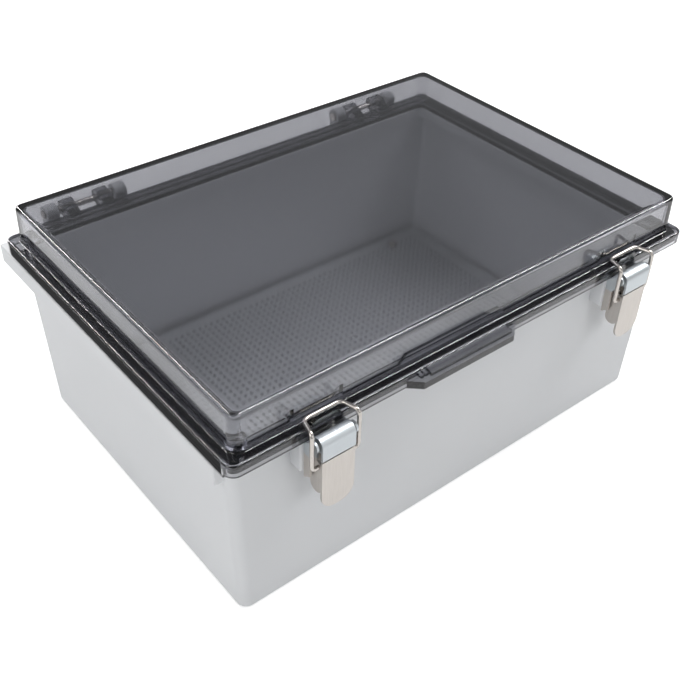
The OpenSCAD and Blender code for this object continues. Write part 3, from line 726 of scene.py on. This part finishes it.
def drawn_lines():
    """Fine parallel lines of rolled or brushed metal, with a painted reflection: above a set height the
    colour is swapped for a second one.
    """
    group, inside, out = new_group(
        "drawn_lines",
        [("Place", "NodeSocketVector", None), ("Stretch", "NodeSocketVector", (300.0, 300.0, 12.0)),
         ("Light", "NodeSocketColor", None), ("Dark", "NodeSocketColor", None),
         ("Upper", "NodeSocketColor", (0.5, 0.5, 0.5, 1)), ("Upper from", "NodeSocketFloat", 10.0),
         ("Least rough", "NodeSocketFloat", 0.15), ("Most rough", "NodeSocketFloat", 0.35)],
        [("Color", "NodeSocketColor"), ("Roughness", "NodeSocketFloat"), ("Height", "NodeSocketFloat")])
    link = group.links.new
    stretch = add(group, "ShaderNodeVectorMath", operation="MULTIPLY")
    link(inside.outputs["Place"], stretch.inputs[0])
    link(inside.outputs["Stretch"], stretch.inputs[1])
    lines = add(group, "ShaderNodeTexNoise")
    lines.inputs["Scale"].default_value = 10
    lines.inputs["Detail"].default_value = 4
    link(stretch.outputs["Vector"], lines.inputs["Vector"])
    tint = add(group, "ShaderNodeMix", data_type="RGBA")
    link(lines.outputs["Fac"], tint.inputs["Factor"])
    link(inside.outputs["Light"], tint.inputs["A"])
    link(inside.outputs["Dark"], tint.inputs["B"])
    # Painted reflection: above the set height the metal takes a second colour that stands for the lamps and
    # sky it mirrors.
    split = add(group, "ShaderNodeSeparateXYZ")
    link(inside.outputs["Place"], split.inputs["Vector"])
    above = add(group, "ShaderNodeMath", operation="GREATER_THAN")
    link(split.outputs["Z"], above.inputs[0])
    link(inside.outputs["Upper from"], above.inputs[1])
    shade = add(group, "ShaderNodeMix", data_type="RGBA")
    link(above.outputs["Value"], shade.inputs["Factor"])
    link(tint.outputs["Result"], shade.inputs["A"])
    link(inside.outputs["Upper"], shade.inputs["B"])
    rough = add(group, "ShaderNodeMapRange")
    link(lines.outputs["Fac"], rough.inputs["Value"])
    link(inside.outputs["Least rough"], rough.inputs["To Min"])
    link(inside.outputs["Most rough"], rough.inputs["To Max"])
    link(shade.outputs["Result"], out.inputs["Color"])
    link(rough.outputs["Result"], out.inputs["Roughness"])
    link(lines.outputs["Fac"], out.inputs["Height"])
    return group


def surface(name, group, values, bump=0.0, distance=0.05, **constants):
    """Material whose colour, roughness and relief come from one of the groups."""
    material = bpy.data.materials.new(name)
    material.use_nodes = True
    tree = material.node_tree
    shader = tree.nodes["Principled BSDF"]
    effect = add(tree, "ShaderNodeGroup", node_tree=group)
    for key, value in values.items():
        effect.inputs[key].default_value = value
    place = add(tree, "ShaderNodeTexCoord")
    tree.links.new(place.outputs["Object"], effect.inputs["Place"])
    tree.links.new(effect.outputs["Color"], shader.inputs["Base Color"])
    tree.links.new(effect.outputs["Roughness"], shader.inputs["Roughness"])
    if bump:
        relief = add(tree, "ShaderNodeBump")
        relief.inputs["Strength"].default_value = bump
        relief.inputs["Distance"].default_value = distance * MM
        tree.links.new(effect.outputs["Height"], relief.inputs["Height"])
        tree.links.new(relief.outputs["Normal"], shader.inputs["Normal"])
    for key, value in constants.items():
        shader.inputs[key.replace("_", " ")].default_value = value
    return material


def smoked_clear(name):
    """Clear smoked polycarbonate: tinted through its thickness, and open to light for the inside."""
    material = bpy.data.materials.new(name)
    material.use_nodes = True
    tree = material.node_tree
    shader = tree.nodes["Principled BSDF"]
    shader.inputs["Base Color"].default_value = (1, 1, 1, 1)
    shader.inputs["Roughness"].default_value = 0.055
    shader.inputs["Specular IOR Level"].default_value = 0.22
    shader.inputs["IOR"].default_value = 1.58
    shader.inputs["Transmission Weight"].default_value = 1.0
    clear = add(tree, "ShaderNodeBsdfTransparent")
    ray = add(tree, "ShaderNodeLightPath")
    open_to = add(tree, "ShaderNodeMath", operation="MAXIMUM")
    tree.links.new(ray.outputs["Is Shadow Ray"], open_to.inputs[0])
    tree.links.new(ray.outputs["Is Diffuse Ray"], open_to.inputs[1])
    mix = add(tree, "ShaderNodeMixShader")
    tree.links.new(open_to.outputs["Value"], mix.inputs["Fac"])
    tree.links.new(shader.outputs["BSDF"], mix.inputs[1])
    tree.links.new(clear.outputs["BSDF"], mix.inputs[2])
    output = tree.nodes["Material Output"]
    tree.links.new(mix.outputs["Shader"], output.inputs["Surface"])
    smoke = add(tree, "ShaderNodeVolumeAbsorption")
    smoke.inputs["Color"].default_value = (0.05, 0.055, 0.12, 1)
    smoke.inputs["Density"].default_value = 160.0
    tree.links.new(smoke.outputs["Volume"], output.inputs["Volume"])
    return material


def dress(piece, material):
    piece.data.materials.clear()
    piece.data.materials.append(material)


grain, lines = moulded_grain(), drawn_lines()
grey_plastic = surface("grey_plastic", grain, {"Light": (0.68, 0.69, 0.70, 1), "Dark": (0.65, 0.66, 0.675, 1),
                                               "Grain size": 1500.0, "Least rough": 0.42, "Most rough": 0.52},
                       bump=0.15, distance=0.03)
# Black of the real gasket, also used for the black lip and side strips that paint shade under the flange.
rubber_and_shade_black = surface("rubber_and_shade_black", grain, {"Light": (0.022, 0.022, 0.023, 1),
                                             "Dark": (0.012, 0.012, 0.013, 1),
                                             "Grain size": 2500.0, "Least rough": 0.6, "Most rough": 0.75},
                      bump=0.3, distance=0.04, Specular_IOR_Level=0.05)
# Painted reflection: parts above 111 mm, such as the lever's hood, take a cooler blue-grey and the parts
# below a warmer beige, standing for the lamps and the floor that each one mirrors.
rolled_steel = surface("rolled_steel", lines, {"Light": (0.57, 0.54, 0.51, 1), "Dark": (0.48, 0.45, 0.42, 1),
                                               "Upper": (0.49, 0.52, 0.54, 1), "Upper from": 0.111,
                                               "Stretch": (160.0, 160.0, 9.0), "Least rough": 0.42,
                                               "Most rough": 0.54}, bump=0.05, distance=0.02, Metallic=1.0)
wire_steel = surface("wire_steel", lines, {"Light": (0.56, 0.53, 0.50, 1), "Dark": (0.42, 0.39, 0.36, 1),
                                           "Stretch": (90.0, 90.0, 90.0), "Least rough": 0.18,
                                           "Most rough": 0.30}, Metallic=1.0)
panel_metal = surface("panel_metal", lines, {"Light": (0.60, 0.61, 0.62, 1), "Dark": (0.50, 0.51, 0.52, 1),
                                             "Stretch": (6.0, 160.0, 160.0), "Least rough": 0.38,
                                             "Most rough": 0.5}, bump=0.05, distance=0.02, Metallic=0.5)
turned_brass = surface("turned_brass", lines, {"Light": (0.74, 0.56, 0.26, 1), "Dark": (0.62, 0.44, 0.18, 1),
                                               "Stretch": (60.0, 60.0, 200.0), "Least rough": 0.2,
                                               "Most rough": 0.34}, Metallic=1.0)
smoked = smoked_clear("smoked_clear")


# ---- the object ----

def place_piece(piece, body, slot, material, *nodes):
    dress(piece, material)
    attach(piece, body)
    if nodes:
        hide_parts(*nodes)


place_piece(build_base(), "base", "base_plastic", grey_plastic, "base_shell")
place_piece(build_gasket(), "base", "gasket_rubber", rubber_and_shade_black, "rim_gasket")
place_piece(build_cover(), "cover", "cover_plastic", smoked, "cover_shell")
# The black side strips are painted shade: they stand for the shadow gap under the flange on the short sides.
for side, sign in NAMED_SIDES:
    place_piece(build_side_strip("side_strip_" + side, sign), "cover", "gasket_rubber", rubber_and_shade_black)
place_piece(build_panel(), "base", "panel_metal", panel_metal, "mounting_panel")
place_piece(pan_screws("panel_screw_set", [(x, y, PANEL_TOP) for x, y in at_corners(*PANEL_POST)], "Z",
                       3.8, 2.2, 2.0, 8.5),
            "base", "steel", wire_steel, "panel_screws")
for side, sign in NAMED_SIDES:
    at = sign * LATCH_X
    place_piece(build_lever("lever_" + side, at), "lever_" + side, "steel", rolled_steel,
                "latch_lever_" + side)
    place_piece(build_bail("bail_" + side, at), "bail_" + side, "steel", wire_steel, "latch_bail_" + side)
    place_piece(pan_screws("bracket_screw_set_" + side, [(at, -124.5, z) for z in (102.5, 112.5)], "Y",
                           2.75, 1.6, 1.5, 6),
                "base", "steel", wire_steel, "bracket_screws_" + side)

for node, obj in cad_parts.items():
    if not obj.hide_render:
        dress(obj, turned_brass if "insert" in node else wire_steel if "pin" in node else rolled_steel)


# ---- stage ----

def area_light(name, at, aim, size, power, gloss=True, shade=True):
    """Soft box. It can be kept out of reflections, or give nothing but reflections."""
    light = bpy.data.lights.new(name, "AREA")
    light.shape = "RECTANGLE"
    light.size, light.size_y = size
    light.energy = power
    lamp = bpy.data.objects.new(name, light)
    bpy.context.scene.collection.objects.link(lamp)
    lamp.location = at
    lamp.visible_glossy = gloss
    lamp.visible_diffuse = lamp.visible_transmission = shade
    lamp.rotation_euler = (Vector(aim) - Vector(at)).to_track_quat("-Z", "Y").to_euler()


def set_stage():
    leave_edit()
    bpy.ops.mesh.primitive_plane_add(size=12, location=(0, 0, -0.0003))
    floor = settle("floor")
    material = bpy.data.materials.new("pale_floor")
    material.use_nodes = True
    tree = material.node_tree
    shader = tree.nodes["Principled BSDF"]
    shader.inputs["Base Color"].default_value = (0.82, 0.82, 0.82, 1)
    shader.inputs["Roughness"].default_value = 0.9
    glow = add(tree, "ShaderNodeEmission")
    glow.inputs["Color"].default_value = (0.45, 0.45, 0.45, 1)
    ray = add(tree, "ShaderNodeLightPath")
    seen = ray.outputs["Is Camera Ray"]
    for other in ("Is Glossy Ray", "Is Transmission Ray"):
        either = add(tree, "ShaderNodeMath", operation="MAXIMUM")
        tree.links.new(seen, either.inputs[0])
        tree.links.new(ray.outputs[other], either.inputs[1])
        seen = either.outputs["Value"]
    tree.links.new(seen, glow.inputs["Strength"])
    both = add(tree, "ShaderNodeAddShader")
    tree.links.new(shader.outputs["BSDF"], both.inputs[0])
    tree.links.new(glow.outputs["Emission"], both.inputs[1])
    tree.links.new(both.outputs["Shader"], tree.nodes["Material Output"].inputs["Surface"])
    dress(floor, material)

    world = bpy.data.worlds.new("studio")
    bpy.context.scene.world = world
    world.use_nodes = True
    room = world.node_tree.nodes["Background"]
    room.inputs["Color"].default_value = (0.97, 0.98, 1, 1)
    room.inputs["Strength"].default_value = 0.30

    area_light("right_box", (0.95, -0.15, 1.35), (0, 0, 0.1), (1.4, 0.7), 13.5, gloss=False)
    area_light("rear_box", (-0.3, 1.4, 1.35), (0, 0, 0.1), (0.6, 1.1), 13.5, gloss=False)
    area_light("edge_right", (1.0, -0.30, 1.40), (0, 0, 0.15), (0.4, 1.4), 32, shade=False)
    area_light("edge_rear", (-0.09, 1.31, 1.29), (0, 0, 0.15), (0.4, 1.2), 30, shade=False)
    area_light("left_box", (-1.5, -0.3, 1.1), (0, 0, 0.08), (1.0, 0.9), 10.5)
    area_light("front_box", (0.2, -1.7, 0.9), (0, 0, 0.08), (1.0, 0.7), 5.4)


def set_camera():
    lens = bpy.data.cameras.new("camera")
    lens.sensor_width = 36
    lens.lens = 52.6
    lens.shift_x = -0.0051
    lens.clip_start, lens.clip_end = 0.01, 30
    camera = bpy.data.objects.new("camera", lens)
    bpy.context.scene.collection.objects.link(camera)
    right = Vector((0.77889, -0.62672, 0.02353))
    down = Vector((-0.37767, -0.49867, -0.78019))
    ahead = Vector((0.50069, 0.59880, -0.62510))
    turn = Matrix((right, -down, -ahead)).transposed().to_4x4()
    camera.matrix_world = Matrix.Translation((-0.34275, -0.40589, 0.46692)) @ turn
    bpy.context.scene.camera = camera


set_stage()
set_camera()
bpy.context.scene.view_settings.view_transform = "Standard"
